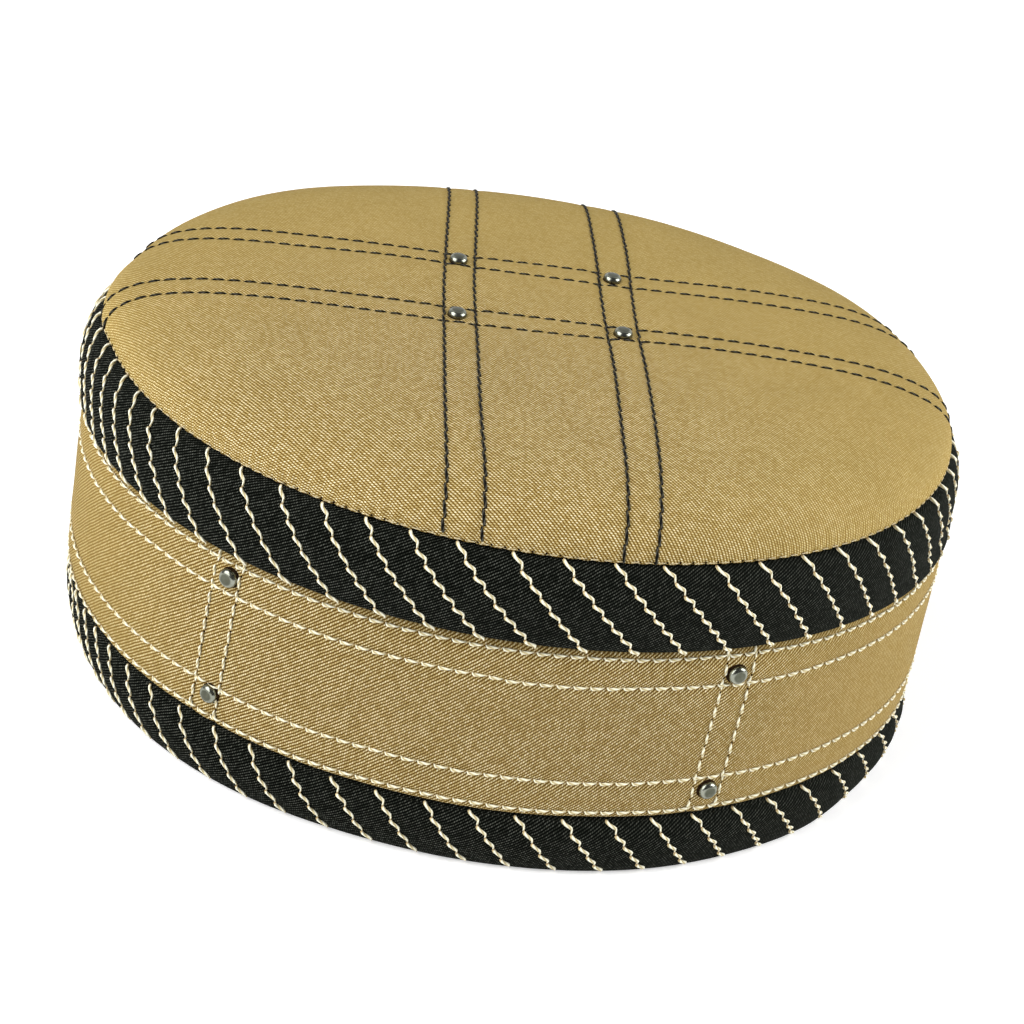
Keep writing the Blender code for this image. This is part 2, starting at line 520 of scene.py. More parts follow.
def noise_node(tree, vector, scale, detail, roughness=0.5):
    inputs = {"Vector": vector, "Scale": scale, "Detail": detail, "Roughness": roughness}
    return add_node(tree, "TexNoise", inputs).outputs["Fac"]


def ramp_node(tree, value, stops):
    node = add_node(tree, "ValToRGB", {"Fac": value})
    elements = node.color_ramp.elements
    while len(elements) < len(stops):
        elements.new(0.5)
    for element, (position, colour) in zip(elements, stops):
        element.position = position
        element.color = (*colour, 1.0)
    return node.outputs["Color"]


def mask_node(tree, value, low, high):
    """0 up to the low value and 1 from the high one."""
    return ramp_node(tree, value, ((low, (0.0, 0.0, 0.0)), (high, (1.0, 1.0, 1.0))))


def range_node(tree, value, source, target, way="LINEAR"):
    """Carry a value from the source's span to the target's."""
    inputs = dict(zip(("From Min", "From Max", "To Min", "To Max"), (*source, *target)), Value=value)
    return add_node(tree, "MapRange", inputs, interpolation_type=way).outputs["Result"]


def split_node(tree, vector):
    return add_node(tree, "SeparateXYZ", {"Vector": vector}).outputs


def object_node(tree):
    return add_node(tree, "TexCoord", {}).outputs["Object"]


def uv_node(tree):
    return add_node(tree, "UVMap", {}, uv_map="cloth").outputs["UV"]


def mix_node(tree, factor, first, second, blend="MIX"):
    inputs = {0: factor, 6: first, 7: second}
    return add_node(tree, "Mix", inputs, data_type="RGBA", blend_type=blend).outputs[2]


def bump_node(tree, height, distance):
    inputs = {"Height": height, "Distance": distance, "Strength": 1.0}
    return add_node(tree, "Bump", inputs).outputs["Normal"]


def new_group(name, vector, numbers, results):
    """A node group that takes a vector and some numbers, and puts out numbers."""
    group = bpy.data.node_groups.new(name, "ShaderNodeTree")
    group.interface.new_socket(vector, in_out="INPUT", socket_type="NodeSocketVector")
    for label in numbers:
        group.interface.new_socket(label, in_out="INPUT", socket_type="NodeSocketFloat")
    for label in results:
        group.interface.new_socket(label, in_out="OUTPUT", socket_type="NodeSocketFloat")
    return group, group.nodes.new("NodeGroupInput").outputs, group.nodes.new("NodeGroupOutput")


# How steeply twill ribs climb across the cloth, in degrees
RIB_RISE = 42.0


def twill_group():
    """Twill cloth, from cloth coordinates in metres: upright yarns that each pass over a rib's width,
    so that their short floats line up in slanting ribs."""
    numbers = ("Cloth Turn", "Ribs Per Metre", "Yarns Per Metre", "Rib Softness", "Yarn Depth")
    group, given, result = new_group("Twill", "Cloth", numbers, ("Float", "Height", "Fleck"))
    inputs = {"Vector": given["Cloth"], "Angle": given["Cloth Turn"]}
    turned = add_node(group, "VectorRotate", inputs, rotation_type="Z_AXIS").outputs["Vector"]
    split = split_node(group, turned)

    rise = radians(RIB_RISE)
    across = times(group, split["Y"], cos(rise))
    across = minus(group, across, times(group, split["X"], sin(rise)))
    across = times(group, across, given["Ribs Per Metre"])
    wobble = times(group, noise_node(group, given["Cloth"], 140.0, 2.0), 0.6)
    fine_wobble = times(group, noise_node(group, given["Cloth"], 900.0, 1.0), 0.3)
    across = plus(group, across, plus(group, wobble, fine_wobble))
    yarns = times(group, split["X"], given["Yarns Per Metre"])

    def bump_of(run):
        wave = math_node("COSINE", group, times(group, run, tau))
        return minus(group, 0.5, times(group, wave, 0.5))

    rib = math_node("POWER", group, bump_of(across), given["Rib Softness"])
    yarn = times(group, bump_of(yarns), given["Yarn Depth"])
    yarn = plus(group, yarn, minus(group, 1.0, given["Yarn Depth"]))
    places = {"X": math_node("FLOOR", group, across), "Y": math_node("FLOOR", group, yarns)}
    cell = add_node(group, "CombineXYZ", places).outputs["Vector"]
    chance = add_node(group, "TexWhiteNoise", {"Vector": cell}, noise_dimensions="2D").outputs["Value"]
    feed(group, result, {"Float": times(group, rib, yarn), "Height": rib, "Fleck": chance})
    return group


def ply_group():
    """Two plies twisted together, from a thread's own run and round coordinates."""
    group, given, result = new_group("Ply", "Thread", ("Twists",), ("Ply", "End"))
    split = split_node(group, given["Thread"])
    twist = plus(group, times(group, split["X"], given["Twists"]), times(group, split["Y"], 2.0))
    wave = math_node("COSINE", group, times(group, twist, tau))
    middle = math_node("ABSOLUTE", group, minus(group, math_node("FRACT", group, split["X"]), 0.5))
    ply = plus(group, times(group, wave, 0.5), 0.5)
    feed(group, result, {"Ply": ply, "End": times(group, middle, 2.0)})
    return group


TWILL = twill_group()
PLY = ply_group()


def new_material(name):
    material = bpy.data.materials.new(name)
    material.use_nodes = True
    return material, material.node_tree, material.node_tree.nodes["Principled BSDF"]


def fade_node(tree, cloth, calm):
    """From 0 near a spot of the cloth to the calm's share far from it."""
    away = add_node(tree, "VectorMath", {0: cloth, 1: (*calm.spot, 0.0)}, operation="DISTANCE")
    return range_node(tree, away.outputs["Value"], (calm.near, calm.far), (0.0, calm.share), "SMOOTHSTEP")


Weave = namedtuple("Weave", "rib_turn rib_pitch yarn_pitch yarn_depth softness relief")
Fleck = namedtuple("Fleck", "base share power")
Calm = namedtuple("Calm", "spot near far share")
CALM_SHADE = 0.4
Mottle = namedtuple("Mottle", "scale detail roughness tones")
MOTTLES = (
    Mottle(900.0, 2.0, 0.6, ((0.3, (0.96, 0.95, 0.93)), (0.7, (1.04, 1.04, 1.04)))),
    Mottle(60.0, 3.0, 0.5, ((0.3, (0.97, 0.97, 0.96)), (0.7, (1.03, 1.03, 1.03)))),
)


def twill_material(name, weave, fleck, painted_tones, calm, specular):
    """Twill cloth: colours from painted shade at the bottom of a rib, through its own colour, to a painted
    sheen on top of a float, floats that differ, and a weave that shows less away from one spot of the
    cloth."""
    material, tree, shader = new_material(name)
    cloth = uv_node(tree)
    inputs = {
        "Cloth": cloth,
        "Cloth Turn": radians(RIB_RISE - weave.rib_turn),
        "Ribs Per Metre": 1.0 / weave.rib_pitch,
        "Yarns Per Metre": 1.0 / weave.yarn_pitch,
        "Yarn Depth": weave.yarn_depth,
        "Rib Softness": weave.softness,
    }
    twill = add_node(tree, "Group", inputs, node_tree=TWILL).outputs
    chance = math_node("POWER", tree, twill["Fleck"], fleck.power)
    chance = plus(tree, times(tree, chance, fleck.share), fleck.base)
    fade = fade_node(tree, cloth, calm)
    shade = times(tree, times(tree, twill["Float"], chance), minus(tree, 1.0, fade))
    colour = ramp_node(tree, plus(tree, shade, times(tree, fade, CALM_SHADE)), painted_tones)
    for mottle in MOTTLES:
        tone = noise_node(tree, cloth, mottle.scale, mottle.detail, mottle.roughness)
        colour = mix_node(tree, 1.0, colour, ramp_node(tree, tone, mottle.tones), "MULTIPLY")
    normal = bump_node(tree, twill["Height"], weave.relief)
    looks = {"Base Color": colour, "Normal": normal, "Roughness": 0.85, "Specular IOR Level": specular}
    feed(tree, shader, looks)
    return material


# A thread's colours: painted shade where it dives into a hole, its own colour with painted shade between
# its plies, a painted highlight on the plies, and how narrow that highlight is
PaintedThreadTones = namedtuple("PaintedThreadTones", "end body bright sharpness")


def thread_material(name, painted_tones, roughness, specular):
    """Twisted sewing thread: painted shade at the needle holes, its own colour with painted shade between
    its plies, and a painted highlight on top of them.
    """
    material, tree, shader = new_material(name)
    ply = add_node(tree, "Group", {"Thread": uv_node(tree), "Twists": 2.0}, node_tree=PLY).outputs
    colour = mix_node(tree, math_node("POWER", tree, ply["Ply"], painted_tones.sharpness), painted_tones.body, painted_tones.bright)
    colour = mix_node(tree, mask_node(tree, ply["End"], 0.66, 0.93), colour, painted_tones.end)
    normal = bump_node(tree, ply["Ply"], 0.12 * MM)
    looks = {"Base Color": colour, "Normal": normal, "Roughness": roughness, "Specular IOR Level": specular}
    feed(tree, shader, looks)
    return material


METAL_FACE = ((0.3, (0.07, 0.074, 0.054)), (0.75, (0.115, 0.12, 0.09)))
METAL_RIM = ((0.3, (0.21, 0.22, 0.18)), (0.75, (0.3, 0.31, 0.26)))
METAL_ROUGHNESS = (0.16, 0.3)
# Painted shade: the near-black of the needle holes and of the shadows round the studs, with a faint random
# tone
HOLE_SHADE = ((0.3, (0.004, 0.002, 0.001)), (0.7, (0.025, 0.012, 0.005)))


def metal_material(name):
    """Gunmetal, oxidised dark on the face and polished on the rim, with faint handling marks."""
    material, tree, shader = new_material(name)
    marks = noise_node(tree, object_node(tree), 900.0, 4.0, 0.6)
    worn = mask_node(tree, split_node(tree, uv_node(tree))["X"], 0.52, 0.7)
    face, rim = ramp_node(tree, marks, METAL_FACE), ramp_node(tree, marks, METAL_RIM)
    looks = {
        "Base Color": mix_node(tree, worn, face, rim),
        "Roughness": range_node(tree, marks, (0.0, 1.0), METAL_ROUGHNESS),
        "Normal": bump_node(tree, marks, 0.01 * MM),
        "Metallic": 1.0,
    }
    feed(tree, shader, looks)
    return material


def hole_material(name):
    """Painted shade: a near-black stand-in for the dark inside of a needle's hole and for the shadows round
    the studs.
    """
    material, tree, shader = new_material(name)
    colour = ramp_node(tree, noise_node(tree, object_node(tree), 1500.0, 2.0), HOLE_SHADE)
    feed(tree, shader, {"Base Color": colour, "Roughness": 0.95, "Specular IOR Level": 0.05})
    return material


# Colours from the bottom of a rib to the top of a float: painted shade in the valleys, the tan cloth's own
# colour, then a painted sheen on the floats
CROWN_TAN = (
    (0.0, (0.11, 0.052, 0.008)),
    (0.35, (0.355, 0.248, 0.07)),
    (0.7, (0.64, 0.535, 0.28)),
    (1.0, (0.86, 0.8, 0.6)),
)
# Painted shade: the crown's tan cloth made darker for the side band
SIDE_TAN_SHADED = (
    (0.0, (0.072, 0.031, 0.004)),
    (0.35, (0.28, 0.187, 0.05)),
    (0.7, (0.54, 0.448, 0.23)),
    (1.0, (0.84, 0.79, 0.61)),
)
# The black cloth's: painted shade in the valleys, its own near-black, then a painted grey sheen on the
# floats
BLACK = (
    (0.0, (0.0005, 0.0008, 0.0004)),
    (0.3, (0.0075, 0.009, 0.007)),
    (0.6, (0.036, 0.038, 0.032)),
    (1.0, (0.12, 0.125, 0.11)),
)
CROWN_WEAVE = Weave(139.0, 0.6 * MM, 0.45 * MM, 0.7, 0.85, 0.08 * MM)
SIDE_WEAVE = Weave(41.5, 0.65 * MM, 0.47 * MM, 0.5, 0.95, 0.1 * MM)
BLACK_WEAVE = Weave(34.5, 0.6 * MM, 0.42 * MM, 0.7, 1.3, 0.1 * MM)
CROWN_CALM = Calm(spot=(-0.02, -0.075), near=0.03, far=0.12, share=0.6)
SIDE_CALM = Calm(spot=(-0.01, -0.02), near=0.04, far=0.11, share=0.55)
BLACK_CALM = Calm(spot=(-0.07, 0.0), near=0.06, far=0.16, share=0.4)
# The bright colour of each thread is a painted highlight, and on the black thread a few painted grey
# glints; the end colour is painted shade at the holes
CREAM = PaintedThreadTones((0.42, 0.24, 0.06), (0.5, 0.4, 0.17), (0.98, 0.96, 0.78), 0.7)
EDGE_CREAM = PaintedThreadTones((0.3, 0.15, 0.04), (0.5, 0.37, 0.17), (0.85, 0.76, 0.52), 1.0)
BLACK_THREAD = PaintedThreadTones((0.004, 0.003, 0.002), (0.002, 0.002, 0.001), (0.085, 0.08, 0.062), 5.0)

crown_twill = twill_material("crown_twill", CROWN_WEAVE, Fleck(0.7, 0.5, 1.0), CROWN_TAN, CROWN_CALM, 0.05)
side_twill = twill_material("side_twill", SIDE_WEAVE, Fleck(0.7, 0.4, 1.0), SIDE_TAN_SHADED, SIDE_CALM, 0.05)
black_twill = twill_material("black_twill", BLACK_WEAVE, Fleck(0.55, 0.6, 1.0), BLACK, BLACK_CALM, 0.01)
cream_thread = thread_material("cream_thread", CREAM, 0.5, 0.3)
edge_thread = thread_material("edge_thread", EDGE_CREAM, 0.6, 0.2)
black_thread = thread_material("black_thread", BLACK_THREAD, 0.6, 0.08)
gunmetal = metal_material("gunmetal")
needle_hole = hole_material("needle_hole")


# Mesh helpers

MERGE_REACH = 0.002 * MM
SEAM_MERGE_REACH = 0.0005 * MM


def add_object(name, data):
    thing = bpy.data.objects.new(name, data)
    bpy.context.scene.collection.objects.link(thing)
    return thing


def mesh_object(bm, name, material):
    mesh = bpy.data.meshes.new(name)
    bm.to_mesh(mesh)
    bm.free()
    mesh.materials.append(material)
    return add_object(name, mesh)


def finish_piece(bm, name, material):
    """Turn a bmesh into a piece of the cap, smooth and riding on its one body."""
    piece = mesh_object(bm, name, material)
    piece.data.shade_smooth()
    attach(piece, "root")
    return piece


def new_mesh():
    """A bmesh with its cloth coordinates."""
    bm = bmesh.new()
    return bm, bm.loops.layers.uv.new("cloth")


def close_up(bm, reach):
    """Merge the points that lie together and turn every face outward."""
    bmesh.ops.remove_doubles(bm, verts=bm.verts, dist=reach)
    bmesh.ops.recalc_face_normals(bm, faces=bm.faces)


def stand_on(point, outward):
    """The move that stands a thing made upright at the origin on a point of the cloth."""
    return Matrix.Translation(point) @ UP.rotation_difference(outward).to_matrix().to_4x4()


def lay_grid(bm, uv, columns, rows, place, cloth):
    """Add a grid, lay its points with place(column, row), and give each its cloth coordinates."""
    made = bmesh.ops.create_grid(bm, x_segments=columns, y_segments=rows, size=0.5)["verts"]
    spots = {vert: (round((vert.co.x + 0.5) * columns), round((vert.co.y + 0.5) * rows)) for vert in made}
    faces = {face for vert in made for face in vert.link_faces}
    for face in faces:
        for loop in face.loops:
            loop[uv].uv = cloth(*spots[loop.vert])
    for vert, spot in spots.items():
        vert.co = place(*spot)


BAND_CORNER = 0.7 * MM
INNER_STEPS = 6


def wall_outline(height, outer_steps):
    """A wall's section as (distance down, inset) pairs, down the outer face and up the inner."""
    wall, corner = BAND_WALL, BAND_CORNER
    reach = height - 2.0 * corner
    bends = [(corner * sin(b), corner * cos(b)) for b in map(radians, (30.0, 60.0, 90.0))]
    outline = [(corner + reach * step / outer_steps, 0.0) for step in range(outer_steps + 1)]
    outline += [(height - corner + sine, corner - cosine) for sine, cosine in bends]
    outline += [(height - corner + cosine, wall - corner + sine) for sine, cosine in bends]
    outline += [(height - corner - reach * step / INNER_STEPS, wall) for step in range(1, INNER_STEPS + 1)]
    outline += [(corner - sine, wall - corner + cosine) for sine, cosine in bends]
    outline += [(corner - cosine, corner - sine) for sine, cosine in bends]
    return outline


def make_band(name, band, columns, outer_steps, lean, material):
    """A closed ring of cloth; its columns lean with the band's threads."""
    height = band.top - band.bottom
    outline = wall_outline(height, outer_steps)
    lengths = run_lengths([band.inset_point(0.25 * ROUND, down / height, inset) for down, inset in outline])

    def distance_round(column, down):
        return (column / columns - 0.5) * ROUND + lean * (down / height - 0.5)

    def place(column, row):
        down, inset = outline[row]
        return band.inset_point(distance_round(column, down), down / height, inset)

    def cloth(column, row):
        return distance_round(column, outline[row][0]), -lengths[row]

    bm, uv = new_mesh()
    lay_grid(bm, uv, columns, len(outline) - 1, place, cloth)
    close_up(bm, MERGE_REACH)
    return finish_piece(bm, name, material)


# The crown's edge: pulled in at each pricked hole and swollen between, as shares of its reach,
# and curled under
CROWN_FLAT = 0.86
EDGE_NOTCH = 0.0035
EDGE_SWELL = 0.001
EDGE_REACH = 0.012
EDGE_CURL = 0.35 * MM


def crown_rings():
    """Section of the crown as (share of the reach, depth inside) rows, from the middle of its top over
    its edge to the middle of its inside."""
    flat_steps, shoulder_steps, edge_steps, inner_steps = 44, 24, 3, 16
    rings = [(CROWN_FLAT * step / flat_steps, 0.0) for step in range(flat_steps)]
    for step in range(shoulder_steps + 1):
        bend = sin(0.5 * pi * step / shoulder_steps)
        rings.append((CROWN_FLAT + (1.0 - CROWN_FLAT) * bend, 0.0))
    rings += [(1.0, CROWN_WALL * step / edge_steps) for step in range(1, edge_steps + 1)]
    rings += [(1.0 - step / inner_steps, CROWN_WALL) for step in range(1, inner_steps + 1)]
    return rings


def make_crown():
    columns = EDGE_PUCKERS * 3
    rings = crown_rings()
    rise = CROWN_TOP - CROWN_SEAM

    def place(column, row):
        share, depth = rings[row]
        turn = tau * column / columns
        reach = crown_reach(turn)
        length, width = reach * CROWN_LENGTH - depth, reach * CROWN_WIDTH - depth
        x, y = share * length * sin(turn), -share * width * cos(turn)
        if depth == 0.0:
            notch = EDGE_NOTCH if column % 3 == 0 else 0.0
            pulled = 1.0 - groove(Groove(notch - EDGE_SWELL, EDGE_REACH), share - 1.0)
            point = crown_point(x, y)
            point.x *= pulled
            point.y *= pulled
            return point
        height = CROWN_SEAM + dome(share, rise - depth)
        if share == 1.0:
            height -= EDGE_CURL * sin(pi * depth / CROWN_WALL)
        return Vector((x, y, height))

    lengths = run_lengths([place(0, row) for row in range(len(rings))])

    def cloth(column, row):
        share, depth = rings[row]
        turn = tau * column / columns
        stretch = lengths[row] / CROWN_WIDTH if depth == 0.0 else share
        return stretch * CROWN_LENGTH * sin(turn), -stretch * CROWN_WIDTH * cos(turn)

    bm, uv = new_mesh()
    lay_grid(bm, uv, columns, len(rings) - 1, place, cloth)
    close_up(bm, MERGE_REACH)
    return finish_piece(bm, "crown_cloth", crown_twill)


# Sewing

# One stitch, from the needle's hole to the next: how far along, how far to the side,
# how high over the cloth and how thick, the last three as shares of the thread's own sizes
Bend = namedtuple("Bend", "along sway lift thick")
WAVY_STITCH = (
    Bend(-0.04, 0.60, -0.50, 0.00),
    Bend(0.02, 0.95, 0.70, 0.90),
    Bend(0.12, 1.00, 1.00, 1.06),
    Bend(0.26, 0.70, 1.00, 0.98),
    Bend(0.42, 0.05, 1.00, 0.98),
    Bend(0.56, -0.60, 1.00, 1.02),
    Bend(0.67, -1.00, 0.90, 0.98),
    Bend(0.75, -0.90, 0.55, 0.70),
    Bend(0.86, -0.20, 0.30, 0.60),
    Bend(0.96, 0.50, 0.10, 0.58),
    Bend(1.02, 0.90, -0.50, 0.00),
)
ROW_STITCH = (
    Bend(-0.02, -0.90, -0.60, 0.00),
    Bend(0.02, -0.70, 0.40, 0.55),
    Bend(0.08, 0.30, 0.50, 0.80),
    Bend(0.15, 0.90, 0.95, 1.15),
    Bend(0.28, 0.70, 1.00, 1.25),
    Bend(0.42, 0.35, 0.95, 1.15),
    Bend(0.56, 0.10, 0.95, 1.00),
    Bend(0.70, -0.20, 0.70, 0.70),
    Bend(0.84, -0.60, 0.30, 0.55),
    Bend(0.94, -0.90, -0.60, 0.00),
)
DASH_STITCH = (
    Bend(0.02, 1.00, -0.60, 0.00),
    Bend(0.06, 0.95, 0.40, 0.70),
    Bend(0.18, 0.70, 0.95, 1.00),
    Bend(0.36, 0.30, 1.00, 1.05),
    Bend(0.52, -0.20, 1.00, 1.00),
    Bend(0.66, -0.60, 0.80, 0.85),
    Bend(0.76, -0.90, 0.30, 0.60),
    Bend(0.82, -1.00, -0.60, 0.00),
)
ROPE_STITCH = (
    Bend(-0.04, 1.00, -0.60, 0.00),
    Bend(0.02, 1.00, 0.40, 0.75),
    Bend(0.15, 0.85, 0.95, 1.00),
    Bend(0.33, 0.40, 1.00, 1.05),
    Bend(0.52, 0.00, 1.00, 1.05),
    Bend(0.70, -0.45, 1.00, 1.00),
    Bend(0.85, -0.85, 0.90, 0.90),
    Bend(0.98, -1.00, 0.30, 0.65),
    Bend(1.04, -1.00, -0.60, 0.00),
)
EDGE_STITCH = (
    Bend(0.20, 0.00, -0.60, 0.00),
    Bend(0.28, 0.30, 0.60, 0.80),
    Bend(0.45, 0.00, 1.00, 1.00),
    Bend(0.66, -0.30, 1.00, 1.00),
    Bend(0.80, -0.60, 0.50, 0.75),
    Bend(0.88, -0.80, -0.60, 0.00),
)

# How thick a thread is, how far it sways, and how much of its radius its middle stands over the cloth
Thread = namedtuple("Thread", "radius sway rise bends")
THREAD_SIDES = 6
WAVY = Thread(0.36 * MM, 0.36 * MM, 0.65, WAVY_STITCH)
ROWS = Thread(0.3 * MM, 0.22 * MM, 0.9, ROW_STITCH)
STRIP = Thread(0.3 * MM, 0.2 * MM, 0.9, DASH_STITCH)
GRID_ALONG_X = Thread(0.27 * MM, 0.1 * MM, 0.5, DASH_STITCH)
GRID_ALONG_Y = Thread(0.31 * MM, 0.2 * MM, 0.25, ROPE_STITCH)
EDGE = Thread(0.13 * MM, 0.08 * MM, 0.4, EDGE_STITCH)

# How much a stitch's sway differs from the last one's, and how far holes stray up or down, in millimetres
SWAY_DRIFT = 0.12
SWAY_SWING = (0.8, 1.2)
ROW_DRIFT = 0.05
EDGE_RISE = 0.25
EDGE_DRIFT = 0.06

# A needle's hole, painted as a dark patch for the shade in it and the thread's shadow beside it: how far it
# lies from its stitch's end along the cloth and up it, and its radius
Hole = namedtuple("Hole", "aside radius")
ROW_HOLE = Hole(Vector((0.1 * MM, -0.18 * MM)), 0.26 * MM)
STRIP_HOLE = Hole(Vector((0.1 * MM, 0.1 * MM)), 0.28 * MM)
GRID_HOLE = Hole(Vector((0.0, 0.0)), 0.2 * MM)
EDGE_HOLE = Hole(Vector((0.0, 0.4 * MM)), 0.26 * MM)
HOLE_FLATNESS = 0.3


def lay_tube(bm, uv, path):
    """A thread's tube along a path of (point, outward, radius); it narrows shut at both ends."""
    rings = []
    last = len(path) - 1
    for index, (point, outward, radius) in enumerate(path):
        ahead = path[min(index + 1, last)][0] - path[max(index - 1, 0)][0]
        sideways = ahead.cross(outward).normalized()
        over = sideways.cross(ahead).normalized()
        rings.append((point, sideways * radius, over * radius))

    def place(step, side):
        point, sideways, over = rings[step]
        angle = tau * side / THREAD_SIDES
        return point + sideways * cos(angle) + over * sin(angle)

    def cloth(step, side):
        return step / last, side / THREAD_SIDES

    lay_grid(bm, uv, last, THREAD_SIDES, place, cloth)


def sew_stitch(bm, uv, thread, on, start, end, chance):
    """One stitch between two needle holes, given in the cloth's own two coordinates."""
    along = end - start
    side = Vector((along.y, -along.x)).normalized()
    path = []
    drift = chance.uniform(-SWAY_DRIFT, SWAY_DRIFT)
    swing = chance.uniform(*SWAY_SWING)
    for bend in thread.bends:
        spot = start + along * bend.along + side * (thread.sway * (bend.sway * swing + drift))
        point, outward = on(spot)
        lift = thread.radius * thread.rise * bend.lift
        path.append((point + outward * lift, outward, thread.radius * bend.thick))
    lay_tube(bm, uv, path)


def finish_seam(bm, name, material):
    close_up(bm, SEAM_MERGE_REACH)
    finish_piece(bm, name, material)


def sew_line(bm, uv, thread, on, start, end, chance):
    """Stitches of even length along a straight line of cloth coordinates; returns their holes."""
    along = end - start
    count = max(1, round(along.length / STITCH))
    holes = [start + along * (index / count) for index in range(count + 1)]
    for first, last in zip(holes, holes[1:]):
        sew_stitch(bm, uv, thread, on, first, last, chance)
    return holes


def prick(bm, on, spot, hole):
    """Painted shade: a dark flattened patch laid on the cloth for a needle's hole."""
    point, outward = on(spot + hole.aside)
    made = bmesh.ops.create_icosphere(bm, subdivisions=1, radius=hole.radius)["verts"]
    flat = Matrix.Diagonal((1.0, 1.0, HOLE_FLATNESS, 1.0))
    bmesh.ops.transform(bm, matrix=stand_on(point, outward) @ flat, verts=made)


def sew_threads(name, band, threads, seed, start_drop, end_drop):
    """Cream threads slantwise over a black band; the drops are how far below its edges they run."""
    chance = random.Random(seed)
    bm, uv = new_mesh()
    for index in range(threads.count):
        start, end = threads.path(band, index, chance)
        start.y -= start_drop
        end.y -= end_drop
        sew_line(bm, uv, WAVY, band.at, start, end, chance)
    finish_seam(bm, name, cream_thread)


def sew_rows(holes):
    """The four cream rows round the side band."""
    chance = random.Random(7)
    bm, uv = new_mesh()
    step = ROUND / ROW_STITCHES
    for row in SEWN_ROWS:
        spots = []
        for index in range(ROW_STITCHES):
            distance = row.first_hole + step * index
            height = row.height + row_wander(row, distance) + chance.uniform(-ROW_DRIFT, ROW_DRIFT) * MM
            spots.append(Vector((distance, height)))
            prick(holes, SIDE.at, spots[-1], ROW_HOLE)
        spots.append(spots[0] + Vector((ROUND, 0.0)))
        for first, last in zip(spots, spots[1:]):
            sew_stitch(bm, uv, ROWS, SIDE.at, first, last, chance)
    finish_seam(bm, "side_rows", cream_thread)


def sew_strips(holes):
    """The slanted pairs of cream lines across the side band."""
    chance = random.Random(8)
    bm, uv = new_mesh()
    for turn in STRIP_TURNS:
        for side in (-1, 1):
            upper = distance_at(radians(turn + 0.5 * STRIP_LEAN)) + side * STRIP_HALF_GAUGE
            lower = distance_at(radians(turn - 0.5 * STRIP_LEAN)) + side * STRIP_HALF_GAUGE
            start = Vector((upper, SIDE.top - STRIP_TOP_GAP))
            end = Vector((lower, SIDE.bottom + STRIP_BOTTOM_GAP))
            for spot in sew_line(bm, uv, STRIP, SIDE.at, start, end, chance):
                prick(holes, SIDE.at, spot, STRIP_HOLE)
    finish_seam(bm, "strip_stitches", cream_thread)


# The last share of the crown's reach that still lies on its face
CROWN_LIMIT = 0.99995


class GridPath:
    """One stitched line of the crown, measured by length along the cloth and distance to the side."""

    STEPS = 240
    HALVINGS = 40

    def __init__(self, line):
        self.line = line
        low, high = self.reach(-1.0), self.reach(1.0)
        self.places = []
        for step in range(self.STEPS + 1):
            share = 0.5 - 0.5 * cos(pi * step / self.STEPS)
            self.places.append(low + (high - low) * share)
        self.lengths = run_lengths([crown_point(*self.plan(place, 0.0)) for place in self.places])

    def plan(self, along, aside):
        """Plan X and Y of a place on the line, a distance to its side."""
        across = self.line.offset + line_stray(self.line, along)
        if self.line.along_x:
            spot = Vector((along, across - aside, 0.0))
        else:
            spot = Vector((across + aside, along, 0.0))
        place = GRID_CENTRE + GRID_TURN @ spot
        return place.x, place.y

    def reach(self, way):
        """How far the line runs this way before it meets the crown's edge."""
        near, far = 0.0, 1.2 * CROWN_LENGTH
        for _ in range(self.HALVINGS):
            middle = 0.5 * (near + far)
            if crown_share(*self.plan(way * middle, 0.0)) < CROWN_LIMIT:
                near = middle
            else:
                far = middle
        return way * near

    def on(self, spot):
        length = min(max(spot.x, 0.0), self.lengths[-1])
        return crown_on(*self.plan(place_at(self.lengths, self.places, length), -spot.y))


def sew_grid(holes):
    """Two pairs of black lines each way across the crown."""
    chance = random.Random(9)
    bm, uv = new_mesh()
    for line in GRID_LINES:
        path = GridPath(line)
        thread = GRID_ALONG_X if line.along_x else GRID_ALONG_Y
        end = Vector((path.lengths[-1], 0.0))
        for spot in sew_line(bm, uv, thread, path.on, Vector((0.0, 0.0)), end, chance):
            prick(holes, path.on, spot, GRID_HOLE)
    finish_seam(bm, "grid_stitches", black_thread)


def crown_edge_on(spot):
    """The crown's face just over its seam, from distance round and height above the seam."""
    turn = turn_at(spot.x)
    climb = min(max(spot.y / (CROWN_TOP - CROWN_SEAM), 0.0), 1.0)
    share = min((1.0 - climb**CROWN_SHOULDER) ** (1.0 / CROWN_FLATNESS), CROWN_LIMIT) * crown_reach(turn)
    return crown_on(share * CROWN_LENGTH * sin(turn), -share * CROWN_WIDTH * cos(turn))


def sew_edge(holes):
    """The thin cream stitches that join the crown to the upper band, with a dark patch of painted shade for
    the pricked hole between them.
    """
    chance = random.Random(10)
    bm, uv = new_mesh()
    step = ROUND / EDGE_PUCKERS
    for index in range(EDGE_PUCKERS):
        height = (EDGE_RISE + chance.uniform(-EDGE_DRIFT, EDGE_DRIFT)) * MM
        first = Vector((step * index, height))
        last = Vector((step * (index + 1), height))
        sew_stitch(bm, uv, EDGE, crown_edge_on, first, last, chance)
        prick(holes, crown_edge_on, Vector((step * index, 0.0)), EDGE_HOLE)
    finish_seam(bm, "edge_stitches", edge_thread)


# Studs

STUD_RADIUS = 2.1 * MM
STUD_HEIGHT = 1.5 * MM
STUD_SINK = 0.15 * MM
STUD_SIDES = 28
FACE_SHARE = 0.6
RIM_BASE = 0.2
RIM_RISE = 0.72
RIM_STEPS = 8

